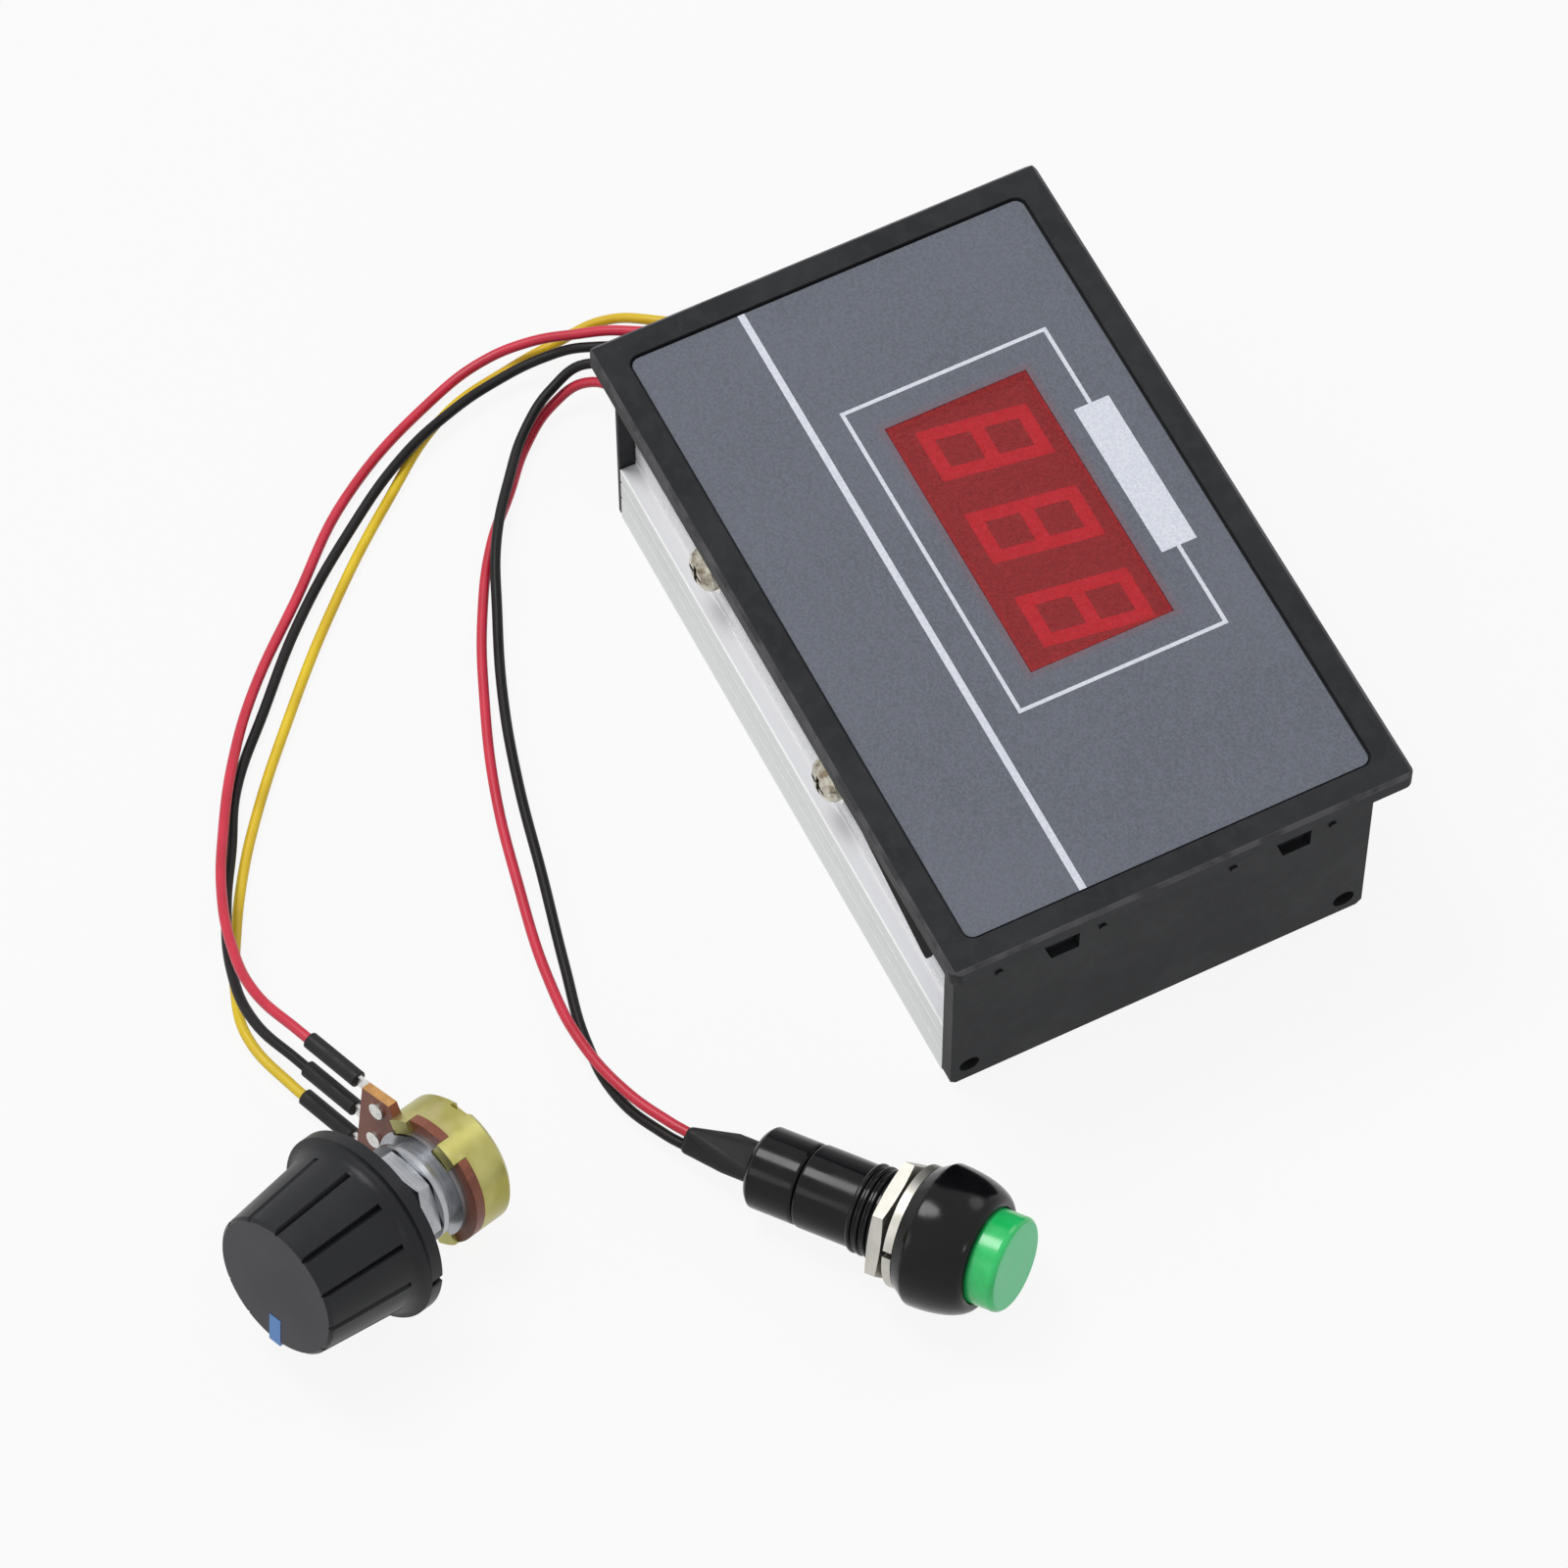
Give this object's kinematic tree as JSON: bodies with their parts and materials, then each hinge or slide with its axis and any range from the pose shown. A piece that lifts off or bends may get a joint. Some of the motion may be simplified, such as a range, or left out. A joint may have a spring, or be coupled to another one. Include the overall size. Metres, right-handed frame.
{
  "type": "motor speed controller",
  "caption": "Panel-mounted controller for a direct-current motor: a boxed read-out with a heat sink, and a dial and a push button on flying leads",
  "frame": {"origin": "on the base plane of the housing, under the centre of the bezel", "axes": "+X along the reading direction of the panel, +Y to its top edge, +Z out of the front of the panel"},
  "size_m": [0.1467, 0.1447, 0.033],
  "materials": {
    "front_case": "fine satin moulding",
    "rear_cover": "satin moulding",
    "front_film": "printed film with a fine grain",
    "display_filter": "dark red window",
    "led_display": "moulded module",
    "display_segments": "unlit red segments",
    "display_board": "solder mask",
    "microcontroller": "moulded chip",
    "power_board": "solder mask",
    "board_header": "pins in a black strip",
    "board_screws": "zinc plated",
    "heatsink": "drawn, natural",
    "sink_pins": "moulded",
    "heatsink_screws": "nickel plated",
    "screw_washers": "nickel plated",
    "heatsink_nuts": "zinc plated",
    "power_transistor": "moulded body on a tab",
    "freewheel_diode": "moulded body on a tab",
    "insulating_pads": "thin silicone pad",
    "voltage_regulator": "moulded body on a tab",
    "filter_capacitors": "printed sleeve",
    "terminal_block": "green moulding",
    "terminal_screws": "zinc plated",
    "terminal_clamps": "tinned",
    "pot_header": "natural nylon",
    "switch_header": "natural nylon",
    "pot_plug": "natural nylon",
    "switch_plug": "natural nylon",
    "lead_pot_yellow": "insulated stranded lead",
    "lead_pot_red": "insulated stranded lead",
    "lead_pot_black": "insulated stranded lead",
    "lead_switch_black": "insulated stranded lead",
    "lead_switch_red": "insulated stranded lead",
    "pot_sleeves": "shrunk sleeve",
    "switch_sleeve": "shrunk sleeve",
    "pot_can": "yellow passivated",
    "pot_wafer": "phenolic paper",
    "pot_lugs": "tinned",
    "pot_bushing": "zinc casting",
    "pot_washer": "zinc plated",
    "pot_nut": "zinc plated",
    "pot_shaft": "turned",
    "pot_wiper": "moulded carrier",
    "knob": "satin moulding",
    "knob_pointer": "inlaid bar",
    "switch_body": "polished moulding",
    "switch_rear_cap": "polished moulding",
    "switch_nut": "nickel plated",
    "switch_washer": "nickel plated",
    "switch_contacts": "tinned",
    "contact_bridge": "bare",
    "return_spring": "spring wire",
    "button": "polished moulding"
  },
  "bodies": {
    "controller": {"front_case": "front_case", "rear_cover": "rear_cover", "front_film": "front_film", "display_filter": "display_filter", "led_display": "led_display", "display_segments": "display_segments", "display_board": "display_board", "microcontroller": "microcontroller", "power_board": "power_board", "board_header": "board_header", "board_screws": "board_screws", "heatsink": "heatsink", "sink_pins": "sink_pins", "heatsink_screws": "heatsink_screws", "screw_washers": "screw_washers", "heatsink_nuts": "heatsink_nuts", "power_transistor": "power_transistor", "freewheel_diode": "freewheel_diode", "insulating_pads": "insulating_pads", "voltage_regulator": "voltage_regulator", "filter_capacitors": "filter_capacitors", "terminal_block": "terminal_block", "terminal_screws": "terminal_screws", "terminal_clamps": "terminal_clamps", "pot_header": "pot_header", "switch_header": "switch_header", "pot_plug": "pot_plug", "switch_plug": "switch_plug", "lead_pot_yellow": "lead_pot_yellow", "lead_pot_red": "lead_pot_red", "lead_pot_black": "lead_pot_black", "lead_switch_black": "lead_switch_black", "lead_switch_red": "lead_switch_red", "pot_sleeves": "pot_sleeves", "switch_sleeve": "switch_sleeve", "pot_can": "pot_can", "pot_wafer": "pot_wafer", "pot_lugs": "pot_lugs", "pot_bushing": "pot_bushing", "pot_washer": "pot_washer", "pot_nut": "pot_nut", "switch_body": "switch_body", "switch_rear_cap": "switch_rear_cap", "switch_nut": "switch_nut", "switch_washer": "switch_washer", "switch_contacts": "switch_contacts", "return_spring": "return_spring"},
    "knob": {"knob": "knob", "knob_pointer": "knob_pointer", "pot_shaft": "pot_shaft", "pot_wiper": "pot_wiper"},
    "button": {"button": "button", "contact_bridge": "contact_bridge"}
  },
  "joints": [
    {"name": "knob_turn", "type": "hinge", "parent": "controller", "child": "knob", "pos_m": [0.0307, -0.08415, 0.00807], "axis": [0.3085, -0.9221, 0.2334], "range_deg": [-60, 240]},
    {"name": "button_press", "type": "slide", "parent": "controller", "child": "button", "axis": [-0.8087, -0.5662, -0.1595], "range_m": [0, 0.0025], "stiffness_N_per_m": 800, "springref_m": -0.002, "deforming": ["return_spring"]}
  ]
}
